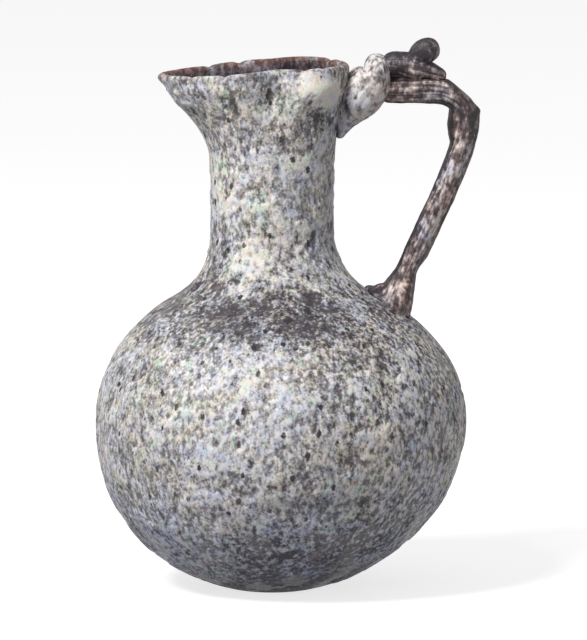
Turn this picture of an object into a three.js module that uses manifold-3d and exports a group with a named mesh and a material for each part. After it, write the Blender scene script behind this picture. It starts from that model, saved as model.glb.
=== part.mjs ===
// Glass jug: a free-blown bottle with a pinched three-lobed mouth, and one handle.
// Millimetres, +Z up. The origin is the centre of the flat base. The handle is
// towards +X and the spout towards -X.

import * as THREE from 'three';
import { mergeVertices } from 'three/addons/utils/BufferGeometryUtils.js';
import Module from 'manifold-3d';

// Body, from the flat base up
const baseRadius = 10.4;
const bodyRadius = 46.4;
const bowlHeight = 41.3; // base to the widest ring
const domeHeight = 38.3; // widest ring to where the dome would close
const bodyLean = 2.3; // the blown body sags this far towards the handle
const leanSpread = 1.3; // more keeps the sag closer to the widest ring

// Neck and mouth
const shoulderRadius = 26; // where the dome turns up into the neck
const shoulderRise = 17.5;
const shoulderPull = 7.9; // how far the turn keeps the dome's and the neck's directions
const neckRadius = 15.5;
const neckLength = 17.5;
const mouthHeight = 21.7; // neck to rim
const rimRadius = 19.3; // of the round lobe at the handle
const lipHeight = 3; // the rim's upright band
const flareCurl = 1.75; // 1 is a straight funnel, more opens later
const spoutReach = 8; // how far the spout passes the round rim
const spoutSpread = 34; // degrees
const pinchDepth = 6.2;
const pinchAngle = 88; // degrees from the handle to each pinch
const pinchSpread = 21; // degrees
const spoutDrop = 2.6; // the spout's lip is this much lower than the back of the rim
const rimWaviness = 0.5;

// Glass thickness
const baseWall = 3.4;
const bodyWall = 1.8;
const neckWall = 2.2;
const lipWall = 2.4;

// Handle, a drawn rod pressed flat at both ends
const rodThickness = 5.6;
const rodWidth = 7.6;
const footInset = 16.2; // from the widest ring in to the middle of the foot
const footThickness = 9.8;
const footWidth = 13.5;
const footLength = 14;
const elbowOverhang = 2.4; // of the rod's centre at the elbow, past the widest ring
const elbowThickness = 6.5;
const elbowDrop = 12.3; // from the rim down to the elbow
const elbowSize = 9;
const runDrop = 4.8; // from the rim down to the centre of the level run

// Clasp, the wad of glass that holds the handle to the rim
const claspBottom = 16.5; // below the rim
const claspTop = 3.9; // above the rim
const claspReach = 6.6; // from the rim to the middle of the upright tab
const claspThickness = 10.8;
const claspWidth = 14;
const claspTipThickness = 1.6; // where it thins out down the neck
const claspTipWidth = 2.4;
const tabThickness = 5.6; // of the upright tab at its top
const tabWidth = 9.8;

// Thumb rest, the clasp's tail folded back over the handle and drawn up to a knob
const tailThickness = 6.7;
const tailTipThickness = 3.3;
const tailWidth = 6.6;
const tailTipWidth = 4.6;
const tailLength = 15.5;
const knobDiameter = 5.8;
const knobWidth = 6.6;
const knobRise = 9.9; // the knob's centre above the handle's level run
const knobSetback = 12.7; // from the clasp's upright tab
const stalkThickness = 3;
const stalkWidth = 5;

// Glass pieces that were fused hot are kept this far apart
const seam = 0.3;

// How finely the pieces are faceted
const jugSides = 44;
const bowlSteps = 9;
const domeSteps = 7;
const shoulderSteps = 6;
const neckSteps = 2;
const mouthSteps = 8;
const lipSteps = 4;
const rodSides = 14;
const handleSteps = 46;
const claspSteps = 18;
const tailSteps = 20;
const knobSteps = 14;

const { clamp, lerp, radToDeg, smoothstep } = THREE.MathUtils;

// Heights that follow from the sizes above
const bowlCurve = bowlHeight / Math.sqrt(1 - (baseRadius / bodyRadius) ** 2);
const shoulderHeight = bowlHeight + domeHeight * Math.sqrt(1 - (shoulderRadius / bodyRadius) ** 2);
const neckBottom = shoulderHeight + shoulderRise;
const neckTop = neckBottom + neckLength;
const rimHeight = neckTop + mouthHeight;

// How far the mouth has opened at a height: 0 on the neck, 1 on the lip
function flareAt(height) {
  const t = clamp((height - neckTop) / (mouthHeight - lipHeight), 0, 1);
  return t ** flareCurl;
}

// The outside of the jug before its mouth is pinched, as points (radius, height)
function outerProfile() {
  const bowl = new THREE.EllipseCurve(
    0, bowlHeight, bodyRadius, bowlCurve, -Math.asin(bowlHeight / bowlCurve), 0);
  const dome = new THREE.EllipseCurve(
    0, bowlHeight, bodyRadius, domeHeight, 0, Math.acos(shoulderRadius / bodyRadius));
  const start = dome.getPoint(1);
  const heading = dome.getTangent(1).multiplyScalar(shoulderPull);
  const shoulder = new THREE.CubicBezierCurve(
    start,
    start.clone().add(heading),
    new THREE.Vector2(neckRadius, neckBottom - shoulderPull),
    new THREE.Vector2(neckRadius, neckBottom));
  const neck = new THREE.LineCurve(
    new THREE.Vector2(neckRadius, neckBottom), new THREE.Vector2(neckRadius, neckTop));
  const stretches = [
    [bowl, bowlSteps],
    [dome, domeSteps],
    [shoulder, shoulderSteps],
    [neck, neckSteps],
  ];
  const points = stretches.flatMap(([curve, steps]) => curve.getPoints(steps).slice(0, -1));
  for (let i = 0; i <= mouthSteps; i += 1) {
    const height = neckTop + mouthHeight * i / mouthSteps;
    points.push(new THREE.Vector2(neckRadius + (rimRadius - neckRadius) * flareAt(height), height));
  }
  return points;
}

// Wall thickness at a height: thick at the base, thin on the blown body
function wallAt(height) {
  const aboveBase = smoothstep(height, 0, bowlHeight);
  const intoNeck = smoothstep(height, shoulderHeight, neckBottom);
  const intoLip = smoothstep(height, neckTop, rimHeight);
  const body = lerp(baseWall, bodyWall, aboveBase);
  const neck = lerp(body, neckWall, intoNeck);
  return lerp(neck, lipWall, intoLip);
}

// Moves each profile point along its own normal, outward for a positive distance
function offsetProfile(points, distanceAt) {
  return points.map((point, i) => {
    const before = points[Math.max(i - 1, 0)];
    const after = points[Math.min(i + 1, points.length - 1)];
    const along = after.clone().sub(before).normalize();
    const distance = distanceAt(point);
    return new THREE.Vector2(point.x + along.y * distance, point.y - along.x * distance);
  });
}

// The rim seen from above: distance from the axis at an angle from the handle
function rimPlan(angle) {
  const fromHandle = radToDeg(Math.abs(angle));
  const pinch = Math.exp(-(((fromHandle - pinchAngle) / pinchSpread) ** 2));
  const spout = Math.exp(-(((180 - fromHandle) / spoutSpread) ** 2));
  return rimRadius - pinchDepth * pinch + spoutReach * spout;
}

function rimLift(angle) {
  return spoutDrop / 2 * Math.cos(angle) + rimWaviness * (Math.sin(angle) - Math.cos(2 * angle));
}

function leanAt(height) {
  if (height <= 0 || height >= neckBottom) {
    return 0;
  }
  return bodyLean * Math.sin(Math.PI * height / neckBottom) ** leanSpread;
}

// Pinches the mouth and lets the body sag: (x, y, z) of the round jug to the real one
function shapeJug(point) {
  const radius = Math.hypot(point.x, point.y);
  const angle = Math.atan2(point.y, point.x);
  const opened = flareAt(point.z) * clamp(radius / (neckRadius / 2), 0, 1);
  const shaped = radius + opened * (rimPlan(angle) - rimRadius);
  const lift = rimLift(angle) * smoothstep(point.z, neckTop, rimHeight);
  return new THREE.Vector3(
    shaped * Math.cos(angle) + leanAt(point.z),
    shaped * Math.sin(angle),
    point.z + lift);
}

// A profile turned round the jug's axis and given the jug's real shape
function turnJug(profile) {
  const geometry = new THREE.LatheGeometry(profile, jugSides);
  geometry.rotateX(Math.PI / 2);
  const position = geometry.getAttribute('position');
  const point = new THREE.Vector3();
  for (let i = 0; i < position.count; i += 1) {
    const shaped = shapeJug(point.fromBufferAttribute(position, i));
    position.setXYZ(i, shaped.x, shaped.y, shaped.z);
  }
  return geometry;
}

const outside = outerProfile();

// Radius of the outside at a height, on the unpinched profile
function outsideRadiusAt(height) {
  for (let i = 1; i < outside.length; i += 1) {
    if (outside[i].y >= height) {
      const share = (height - outside[i - 1].y) / (outside[i].y - outside[i - 1].y);
      return lerp(outside[i - 1].x, outside[i].x, share);
    }
  }
  return rimRadius;
}

// Height of the shoulder's outside at a distance from the axis
function shoulderHeightAt(radius) {
  let height = bowlHeight;
  while (outsideRadiusAt(height) > radius) {
    height += 0.1;
  }
  return height;
}

function vesselGeometry() {
  const floor = [new THREE.Vector2(0, 0)];
  const inside = offsetProfile(outside, (point) => -wallAt(point.y)).reverse();
  const rimOut = outside[outside.length - 1];
  const rimIn = inside[0];
  const lip = [];
  for (let i = 1; i < lipSteps; i += 1) {
    const turn = Math.PI * i / lipSteps;
    lip.push(new THREE.Vector2(
      (rimOut.x + rimIn.x) / 2 + (rimOut.x - rimIn.x) / 2 * Math.cos(turn),
      rimHeight + lipWall / 2 * Math.sin(turn)));
  }
  const insideWall = inside.filter((point) => point.y > baseWall && point.x > 0);
  const well = [new THREE.Vector2(baseRadius / 2, baseWall), new THREE.Vector2(0, baseWall)];
  return turnJug([...floor, ...outside, ...lip, ...insideWall, ...well]);
}

// The jug filled up and grown by the seam, to trim what is fused onto it
function jugEnvelope() {
  const grown = offsetProfile(outside, () => seam);
  const top = rimHeight + lipWall / 2 + seam;
  return turnJug([
    new THREE.Vector2(0, -seam),
    ...grown,
    new THREE.Vector2(rimRadius - lipWall / 2, top),
    new THREE.Vector2(0, top)]);
}

// Lays a turned shape along a curve in the XZ plane: its axis follows the curve, and its
// width in Y is its thickness times the ratio
function bendAlong(geometry, curve, widthRatioAt) {
  const length = curve.getLength();
  const position = geometry.getAttribute('position');
  for (let i = 0; i < position.count; i += 1) {
    const share = clamp(position.getY(i) / length, 0, 1);
    const centre = curve.getPointAt(share);
    const along = curve.getTangentAt(share);
    const across = position.getX(i);
    position.setXYZ(
      i,
      centre.x - along.z * across,
      position.getZ(i) * widthRatioAt(share),
      centre.z + along.x * across);
  }
  return geometry;
}

// A rod of changing thickness with rounded ends
function rodGeometry(curve, thicknessAt, widthAt, steps, grow = 0) {
  const length = curve.getLength();
  const profile = [new THREE.Vector2(0, 0)];
  for (let i = 0; i <= steps; i += 1) {
    const share = (1 - Math.cos(Math.PI * (i + 0.5) / (steps + 1))) / 2;
    const radius = thicknessAt(share) / 2;
    const toEnd = Math.min(share, 1 - share) * length / radius;
    const rounding = Math.sqrt(1 - (1 - clamp(toEnd, 0, 1)) ** 2);
    profile.push(new THREE.Vector2(radius * rounding + grow, share * length));
  }
  profile.push(new THREE.Vector2(0, length));
  const geometry = new THREE.LatheGeometry(profile, rodSides);
  return bendAlong(geometry, curve, (share) => widthAt(share) / thicknessAt(share));
}

const atSide = (x, z) => new THREE.Vector3(x, 0, z);

// The clasp climbs the back of the mouth from the neck and stands up behind the rim
const claspRod = {
  curve: new THREE.CatmullRomCurve3([
    atSide(neckRadius + 1.2, rimHeight - claspBottom),
    atSide(rimRadius + 0.2, rimHeight - claspBottom * 0.62),
    atSide(rimRadius + claspReach * 0.55, rimHeight - runDrop),
    atSide(rimRadius + claspReach, rimHeight - runDrop * 0.25),
    atSide(rimRadius + claspReach, rimHeight + claspTop)]),
  thicknessAt(share) {
    const swell = smoothstep(share, 0, 0.5);
    const narrow = smoothstep(share, 0.7, 0.84);
    return lerp(lerp(claspTipThickness, claspThickness, swell), tabThickness, narrow);
  },
  widthAt(share) {
    const swell = smoothstep(share, 0, 0.5);
    const narrow = smoothstep(share, 0.75, 1);
    return lerp(lerp(claspTipWidth, claspWidth, swell), tabWidth, narrow);
  },
};

function claspGeometry(grow) {
  return rodGeometry(claspRod.curve, claspRod.thicknessAt, claspRod.widthAt, claspSteps, grow);
}

// The handle rises from the shoulder, leans out to the elbow and runs level to the clasp
const footRadius = bodyRadius - footInset;
const elbowReach = bodyRadius + elbowOverhang;
const footHeight = shoulderHeightAt(footRadius);
const footX = footRadius + leanAt(footHeight);
const elbowHeight = rimHeight - elbowDrop;
const runHeight = rimHeight - runDrop;

function handleCurve() {
  const sunk = footThickness * 0.3;
  const foot = atSide(footX - sunk * 0.3, footHeight - sunk);
  const elbow = atSide(elbowReach, elbowHeight);
  const turnEnd = atSide(elbowReach - elbowSize, runHeight);
  const legPull = (elbowHeight - footHeight) * 0.29;
  const curve = new THREE.CurvePath();
  curve.add(new THREE.CubicBezierCurve3(
    foot, atSide(foot.x + 1.2, foot.z + legPull), atSide(elbow.x - 1.2, elbow.z - legPull), elbow));
  curve.add(new THREE.CubicBezierCurve3(
    elbow, atSide(elbow.x + 0.5, elbow.z + elbowSize * 0.5),
    atSide(turnEnd.x + elbowSize * 0.6, runHeight), turnEnd));
  curve.add(new THREE.LineCurve3(turnEnd, atSide(rimRadius + claspReach * 0.6, runHeight)));
  return curve;
}

function handleGeometry(grow) {
  const curve = handleCurve();
  const footShare = footLength / curve.getLength();
  const elbowShare = curve.getCurveLengths()[1] / curve.getLength();
  const flatten = (share) => 1 - smoothstep(share, footShare * 0.35, footShare);
  const bunched = (share) => Math.exp(-(((share - elbowShare) / 0.09) ** 2));
  return rodGeometry(
    curve,
    (share) => lerp(rodThickness, footThickness, flatten(share))
      + (elbowThickness - rodThickness) * bunched(share),
    (share) => lerp(rodWidth, footWidth, flatten(share)),
    handleSteps,
    grow);
}

// The tail starts against the clasp's tab and thins out along the top of the handle
const tabX = rimRadius + claspReach;
const runTop = runHeight + rodThickness / 2;

function tailGeometry() {
  const start = tabX + tabThickness / 4;
  const high = runTop + tailThickness / 2;
  const curve = new THREE.CatmullRomCurve3([
    atSide(start, high),
    atSide(start + tailLength * 0.5, high - tailThickness * 0.05),
    atSide(start + tailLength * 0.8, runTop + tailTipThickness * 0.6),
    atSide(start + tailLength, runTop)]);
  const thinned = (share) => smoothstep(share, 0.4, 0.85);
  return rodGeometry(
    curve,
    (share) => lerp(tailThickness, tailTipThickness, thinned(share)),
    (share) => lerp(tailWidth, tailTipWidth, thinned(share)),
    tailSteps);
}

// The knob stands on the tail and leans away from the mouth
function knobGeometry() {
  const knobX = tabX + knobSetback;
  const knobHeight = runHeight + knobRise;
  const curve = new THREE.CatmullRomCurve3([
    atSide(knobX - knobDiameter * 0.8, runTop + tailTipThickness / 2),
    atSide(knobX - knobDiameter * 0.55, knobHeight - knobDiameter * 0.35),
    atSide(knobX, knobHeight),
    atSide(knobX + knobDiameter / 2, knobHeight + knobDiameter * 0.05)]);
  const swell = (share) => smoothstep(share, 0.25, 0.65);
  return rodGeometry(
    curve,
    (share) => lerp(stalkThickness, knobDiameter, swell(share)),
    (share) => lerp(stalkWidth, knobWidth, swell(share)),
    knobSteps);
}

const wasm = await Module();
wasm.setup();

function toSolid(geometry) {
  const bare = geometry.clone();
  bare.deleteAttribute('normal');
  bare.deleteAttribute('uv');
  const merged = mergeVertices(bare, 1e-4);
  return new wasm.Manifold(new wasm.Mesh({
    numProp: 3,
    vertProperties: new Float32Array(merged.getAttribute('position').array),
    triVerts: new Uint32Array(merged.getIndex().array),
  }));
}

function toGeometry(solid) {
  const mesh = solid.getMesh();
  const geometry = new THREE.BufferGeometry();
  geometry.setAttribute('position', new THREE.BufferAttribute(mesh.vertProperties, 3));
  geometry.setIndex(new THREE.BufferAttribute(mesh.triVerts, 1));
  geometry.computeVertexNormals();
  return geometry;
}

const jugSpace = toSolid(jugEnvelope());
const claspSpace = toSolid(claspGeometry(seam));
const handleSpace = toSolid(handleGeometry(seam));

const clasp = toSolid(claspGeometry(0)).subtract(jugSpace);
const handle = toSolid(handleGeometry(0)).subtract(jugSpace).subtract(claspSpace);
const thumbRest = toSolid(tailGeometry())
  .add(toSolid(knobGeometry()))
  .subtract(jugSpace)
  .subtract(claspSpace)
  .subtract(handleSpace);

function glass(color, roughness) {
  return new THREE.MeshStandardMaterial({ color, roughness, metalness: 0 });
}

const group = new THREE.Group();

function addPiece(name, geometry, material) {
  const mesh = new THREE.Mesh(geometry, material);
  mesh.name = name;
  group.add(mesh);
}

addPiece('vessel', vesselGeometry(), glass(0xa3a19f, 0.8));
addPiece('handle', toGeometry(handle), glass(0x837a78, 0.7));
addPiece('rim_clasp', toGeometry(clasp), glass(0x8f8a86, 0.7));
addPiece('thumb_rest', toGeometry(thumbRest), glass(0x74625c, 0.7));

export default group;
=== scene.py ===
# %% [markdown]
# # A free-blown glass jug, long buried
# The jug was blown as one bubble, opened to a wide mouth and pinched to three lobes. Then the
# maker drew a rod of hot glass from the shoulder up to the rim, pressed its end on as a clasp
# and folded the tail back to a thumb rest. Centuries in the ground gave it a grey, pitted crust.
#
# The script works in millimetres, as a glass maker would measure, and each finished mesh is
# brought down to Blender's metres in one step at the end.

# %% Load the frame
import math
from bisect import bisect_left

import bmesh
import bpy
from mathutils import Matrix, Vector, noise
from mathutils.geometry import interpolate_bezier
from mathutils.kdtree import KDTree


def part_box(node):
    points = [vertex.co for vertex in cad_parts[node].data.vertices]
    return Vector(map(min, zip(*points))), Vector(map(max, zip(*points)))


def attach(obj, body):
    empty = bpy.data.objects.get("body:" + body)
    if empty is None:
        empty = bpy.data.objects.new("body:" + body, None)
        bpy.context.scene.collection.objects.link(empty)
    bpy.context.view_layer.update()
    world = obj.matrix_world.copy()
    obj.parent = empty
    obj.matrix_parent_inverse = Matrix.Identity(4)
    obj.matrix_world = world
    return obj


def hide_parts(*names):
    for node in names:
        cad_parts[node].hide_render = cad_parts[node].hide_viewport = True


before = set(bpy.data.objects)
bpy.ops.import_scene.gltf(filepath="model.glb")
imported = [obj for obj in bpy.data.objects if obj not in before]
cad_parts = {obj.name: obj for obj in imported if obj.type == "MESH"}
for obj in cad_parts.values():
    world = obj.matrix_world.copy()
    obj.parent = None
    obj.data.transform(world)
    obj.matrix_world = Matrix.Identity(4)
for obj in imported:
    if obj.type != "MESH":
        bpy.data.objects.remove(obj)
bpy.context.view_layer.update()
MM = 0.001

# %% [markdown]
# ## Camera
# The jug was seen from a little above, 7 degrees, and from far away, so its sides look
# almost parallel. A long lens at 1.6 m does the same, and it shows 0.25 mm in each pixel.

# %% Place the camera
CAMERA_DISTANCE = 1.6
CAMERA_ELEVATION = math.radians(7)
IMAGE_WIDTH = 587
PIXEL_SIZE = 0.25 * MM
AIM = Vector((5.4, 0, 67.3)) * MM
SENSOR_WIDTH = 36

camera_data = bpy.data.cameras.new("camera")
camera_data.sensor_fit = "HORIZONTAL"
camera_data.sensor_width = SENSOR_WIDTH
camera_data.lens = SENSOR_WIDTH * CAMERA_DISTANCE / (IMAGE_WIDTH * PIXEL_SIZE)
camera = bpy.data.objects.new("camera", camera_data)
away = Vector((0, -math.cos(CAMERA_ELEVATION), math.sin(CAMERA_ELEVATION)))
camera.location = AIM + away * CAMERA_DISTANCE
camera.rotation_euler = (-away).to_track_quat("-Z", "Y").to_euler()
bpy.context.collection.objects.link(camera)
bpy.context.scene.camera = camera
print("lens, mm:", round(camera_data.lens, 1))

# %% [markdown]
# ## Curves and steps
# Three small functions come back all through the script. `blend` goes from one value to
# another, `ease` is a soft step from 0 to 1, and `hump` is a round bump about one place. Hard
# steps would be shorter to write, but molten glass has none: all that it does, it does softly.

# %% Small helpers for numbers
def blend(low, high, share):
    return low + (high - low) * share


def ease(value, start, end):
    share = min(max((value - start) / (end - start), 0), 1)
    return share * share * (3 - 2 * share)


def hump(value, centre, spread):
    return math.exp(-((value - centre) / spread) ** 2)


print("ease at a quarter:", ease(0.25, 0, 1))

# %% [markdown]
# ## The outline of the bubble
# A free-blown body is close to an ellipse below its widest ring and a flatter one above it.
# The shoulder turns up into the neck in one soft curve, and the mouth opens like a funnel that
# widens faster near its lip. The outline could be traced point by point. Here each stretch is
# one arc or one curve between named sizes, so a size can change and the outline stays smooth.

# %% Sizes of the vessel, in millimetres
vessel_low, vessel_high = (corner / MM for corner in map(Vector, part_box("vessel")))
BODY_RADIUS = (vessel_high.y - vessel_low.y) / 2
BASE_RADIUS = 10.4
BOWL_HEIGHT = 41.3
DOME_HEIGHT = 38.3
BODY_LEAN = 2.3
LEAN_SPREAD = 1.3
SHOULDER_RADIUS = 26
SHOULDER_RISE = 17.5
SHOULDER_PULL = 7.9
NECK_RADIUS = 15.5
NECK_LENGTH = 17.5
MOUTH_HEIGHT = 21.7
RIM_RADIUS = 19.3
LIP_HEIGHT = 3
FLARE_CURL = 1.75
BASE_WALL = 3.4
BODY_WALL = 1.8
NECK_WALL = 2.2
LIP_WALL = 2.4

BOWL_CURVE = BOWL_HEIGHT / math.sqrt(1 - (BASE_RADIUS / BODY_RADIUS) ** 2)
SHOULDER_HEIGHT = BOWL_HEIGHT + DOME_HEIGHT * math.sqrt(1 - (SHOULDER_RADIUS / BODY_RADIUS) ** 2)
NECK_BOTTOM = SHOULDER_HEIGHT + SHOULDER_RISE
NECK_TOP = NECK_BOTTOM + NECK_LENGTH
RIM_HEIGHT = NECK_TOP + MOUTH_HEIGHT
print("body radius", round(BODY_RADIUS, 2), "neck from", round(NECK_BOTTOM, 1), "to", round(NECK_TOP, 1))

# %% [markdown]
# The outside runs up from the edge of the base: bowl, dome, shoulder, neck and mouth. The dome
# ends where the shoulder's Bezier curve starts, and that curve leaves in the dome's own
# direction and arrives upright, so no ring shows where two stretches meet.

# %% The outside, from the edge of the base to the lip
OUTSIDE_FINENESS = 9


def arc(radius, rise, start, end, steps):
    angles = [blend(start, end, step / steps) for step in range(steps)]
    return [(radius * math.cos(angle), BOWL_HEIGHT + rise * math.sin(angle)) for angle in angles]


def flare_at(height):
    opened = (height - NECK_TOP) / (MOUTH_HEIGHT - LIP_HEIGHT)
    return min(max(opened, 0), 1) ** FLARE_CURL


def outside_profile(fineness):
    """Points of the outside. Each stretch has its own count of steps, times the fineness."""
    neck_steps = 3 * fineness
    mouth_steps = 4 * fineness
    dome_end = math.acos(SHOULDER_RADIUS / BODY_RADIUS)
    bowl = arc(BODY_RADIUS, BOWL_CURVE, -math.asin(BOWL_HEIGHT / BOWL_CURVE), 0, 9 * fineness)
    dome = arc(BODY_RADIUS, DOME_HEIGHT, 0, dome_end, 7 * fineness)
    start = Vector((SHOULDER_RADIUS, SHOULDER_HEIGHT))
    heading = Vector((-BODY_RADIUS * math.sin(dome_end), DOME_HEIGHT * math.cos(dome_end))).normalized()
    turn = interpolate_bezier(
        start,
        start + heading * SHOULDER_PULL,
        Vector((NECK_RADIUS, NECK_BOTTOM - SHOULDER_PULL)),
        Vector((NECK_RADIUS, NECK_BOTTOM)),
        4 * fineness + 1)
    shoulder = [(point.x, point.y) for point in turn[:-1]]
    neck = [(NECK_RADIUS, blend(NECK_BOTTOM, NECK_TOP, step / neck_steps)) for step in range(neck_steps)]
    heights = [blend(NECK_TOP, RIM_HEIGHT, step / mouth_steps) for step in range(mouth_steps + 1)]
    mouth = [(blend(NECK_RADIUS, RIM_RADIUS, flare_at(height)), height) for height in heights]
    return bowl + dome + shoulder + neck + mouth


outside = outside_profile(OUTSIDE_FINENESS)
outside_heights = [height for radius, height in outside]
print("outside profile:", len(outside), "points")

# %% [markdown]
# The inside follows the outside at the wall's thickness. Glass gathers at the base, where the
# bubble hung from the pipe's far end, and thins out where it was blown widest. A Solidify
# modifier would give one thickness everywhere, so each inside point is set off by its own. The
# whole line is then spun round the jug's axis, as on a potter's wheel.

# %% The whole profile, from the middle of the base round the lip to the well inside
INSIDE_FINENESS = 3
BASE_STEPS = 24
LIP_STEPS = 10
JUG_SIDES = 272
TOUCHING = 1e-4


def wall_at(height):
    body = blend(BASE_WALL, BODY_WALL, ease(height, 0, BOWL_HEIGHT))
    neck = blend(body, NECK_WALL, ease(height, SHOULDER_HEIGHT, NECK_BOTTOM))
    return blend(neck, LIP_WALL, ease(height, NECK_TOP, RIM_HEIGHT))


def inside_profile(points):
    inside = []
    for before, point, after in zip([points[0]] + points, points, points[1:] + [points[-1]]):
        along = (Vector(after) - Vector(before)).normalized()
        inward = Vector((-along.y, along.x)) * wall_at(point[1])
        inside.append((point[0] + inward.x, point[1] + inward.y))
    return [point for point in inside if point[0] > 0 and point[1] > BASE_WALL]


def jug_profile():
    base = [(BASE_RADIUS * step / BASE_STEPS, 0) for step in range(BASE_STEPS)]
    inner = inside_profile(outside_profile(INSIDE_FINENESS))[::-1]
    middle = (outside[-1][0] + inner[0][0]) / 2
    half = (outside[-1][0] - inner[0][0]) / 2
    turns = [math.pi * step / LIP_STEPS for step in range(1, LIP_STEPS)]
    lip = [(middle + half * math.cos(turn), RIM_HEIGHT + LIP_WALL / 2 * math.sin(turn)) for turn in turns]
    well = [(BASE_RADIUS / 2, BASE_WALL), (0, BASE_WALL)]
    return base + outside + lip + inner + well


def turned(profile, sides):
    """A closed solid turned round Z from (radius, height) points that start and end on the axis."""
    bm = bmesh.new()
    line = [bm.verts.new((radius, 0, height)) for radius, height in profile]
    edges = [bm.edges.new(pair) for pair in zip(line, line[1:])]
    bmesh.ops.spin(
        bm, geom=line + edges, cent=(0, 0, 0), axis=(0, 0, 1), dvec=(0, 0, 0),
        angle=math.tau, steps=sides, use_merge=True, use_duplicate=False)
    bmesh.ops.remove_doubles(bm, verts=bm.verts, dist=TOUCHING)
    bmesh.ops.recalc_face_normals(bm, faces=bm.faces)
    return bm


vessel_bm = turned(jug_profile(), JUG_SIDES)
print("turned vessel:", len(vessel_bm.faces), "faces")

# %% [markdown]
# ## Pinching the mouth
# The maker squeezed the soft mouth from two sides and drew the spout out. From above, the rim
# has a round lobe at the handle, a pinch at each side and a longer lobe for the spout. The body
# sags a little towards the handle, as the photograph's outline does. Sculpting could do this
# too. One rule that moves a point of the round jug to its place is easier to change, and it
# moves the inside along with the outside.

# %% From the round jug to the real one
SPOUT_REACH = 8
SPOUT_SPREAD = 34
PINCH_DEPTH = 6.2
PINCH_ANGLE = 88
PINCH_SPREAD = 21
SPOUT_DROP = 2.6
RIM_WAVINESS = 0.5


def rim_plan(angle):
    from_handle = math.degrees(abs(angle))
    pinch = PINCH_DEPTH * hump(from_handle, PINCH_ANGLE, PINCH_SPREAD)
    spout = SPOUT_REACH * hump(from_handle, 180, SPOUT_SPREAD)
    return RIM_RADIUS - pinch + spout


def rim_lift(angle):
    waves = RIM_WAVINESS * (math.sin(angle) - math.cos(2 * angle))
    return SPOUT_DROP / 2 * math.cos(angle) + waves


def lean_at(height):
    if not 0 < height < NECK_BOTTOM:
        return 0
    return BODY_LEAN * math.sin(math.pi * height / NECK_BOTTOM) ** LEAN_SPREAD


def shape_jug(point):
    radius = math.hypot(point.x, point.y)
    angle = math.atan2(point.y, point.x)
    opened = flare_at(point.z) * min(radius / (NECK_RADIUS / 2), 1)
    radius += opened * (rim_plan(angle) - RIM_RADIUS)
    lift = rim_lift(angle) * ease(point.z, NECK_TOP, RIM_HEIGHT)
    return Vector((
        radius * math.cos(angle) + lean_at(point.z),
        radius * math.sin(angle),
        point.z + lift))


print("spout reaches", round(rim_plan(math.pi), 1), "mm from the axis")

# %% [markdown]
# ## The crust as real relief
# Weathered glass isn't smooth. The blown wall has slow lumps, plates of crust stand proud where
# they haven't flaked off, and small pits are eaten into both. A bump map would shade them, but
# leave the outline as smooth as a billiard ball. So the relief moves each outside vertex along
# its normal, and marks are kept in attributes, so that the colours later follow the same
# plates. The inside only gets the slow lumps.

# %% Relief of the surface: depth and size of the lumps and dents, then of plates and pits
LUMPS = (0.34, 23)
DENTS = (0.17, 8.5)
PLATE_HEIGHT = 0.24
PLATE_SIZE = 7.5
PLATE_RAGGEDNESS = 0.35
PLATE_EDGE = (-0.12, 0.02)
PIT_DEPTH = 0.42
PIT_SIZE = 2.6
PIT_STRETCH = 0.7
PIT_RARITY = 0.16
OTHER_PLACE = Vector((31.7, 12.9, 5.3))


def plate_at(place):
    """1 on a plate of crust, 0 where it has flaked off."""
    coarse = noise.noise(place / PLATE_SIZE + OTHER_PLACE)
    ragged = PLATE_RAGGEDNESS * noise.noise(place / (PLATE_SIZE / 4))
    return ease(coarse + ragged, *PLATE_EDGE)


def slow_relief(place):
    (lump_depth, lump_size), (dent_depth, dent_size) = LUMPS, DENTS
    lumps = lump_depth * noise.noise(place / lump_size)
    return lumps + dent_depth * noise.noise(place / dent_size - OTHER_PLACE)


def pit_at(place):
    tall = Vector((place.x, place.y, place.z * PIT_STRETCH))
    return max(0, noise.noise(tall / PIT_SIZE) - PIT_RARITY)


print("relief at the widest ring:", round(slow_relief(Vector((BODY_RADIUS, 0, BOWL_HEIGHT))), 3), "mm")

# %% [markdown]
# The underside holds what the pontil rod left: a ring of broken glass in a shallow hollow. The
# rim is worn, with small chips in the spout and at the sides. The spout ends in a small beak,
# and the pinch left a bulge at either side of the handle. Each is too small to need faces of
# its own, so it is a push on the vertices that are there.

# %% Small shapes of the base and the rim
BEAK_REACH = 1.1
BEAK_SPREAD = 20
BEAK_EDGE = (RIM_HEIGHT - 2.4, RIM_HEIGHT + 0.3)
BEAK_UNDERCUT = (RIM_HEIGHT - 2.8, 1.9)
BEAK_UNDERCUT_SHARE = 0.9
LOBE_HEIGHT = 1.7
LOBE_ANGLE = 52
LOBE_SPREAD = 19
LOBE_LEVEL = (RIM_HEIGHT - 5.2, 3.2)
LOBE_UNDERCUT = (LOBE_LEVEL[0] - 5.4, 2.4)
LOBE_UNDERCUT_SHARE = 0.35
KICK_HEIGHT = 0.9
SCAR_RADIUS = 5.2
SCAR_WIDTH = 0.9
SCAR_HEIGHT = 0.55
SCAR_RAGGEDNESS = 0.5
CHIP_EDGE = (RIM_HEIGHT - 1.6, RIM_HEIGHT + 0.6)
CHIPS = (
    # angle from the handle and spread in degrees, depth
    (-128, 2.6, 0.55),
    (-152, 2.2, 0.45),
    (118, 3.5, 0.6),
    (141, 2.4, 0.5),
    (-61, 2.8, 0.4),
    (35, 4, 0.45),
)


def base_lift(radius, angle):
    hollow = KICK_HEIGHT * (1 - ease(radius, 0, BASE_RADIUS))
    ragged = 0.7 + SCAR_RAGGEDNESS * noise.noise(Vector((math.cos(angle), math.sin(angle), 0)) * 2.3)
    return hollow - SCAR_HEIGHT * ragged * hump(radius, SCAR_RADIUS, SCAR_WIDTH) * ease(radius, 0, 4)


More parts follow.
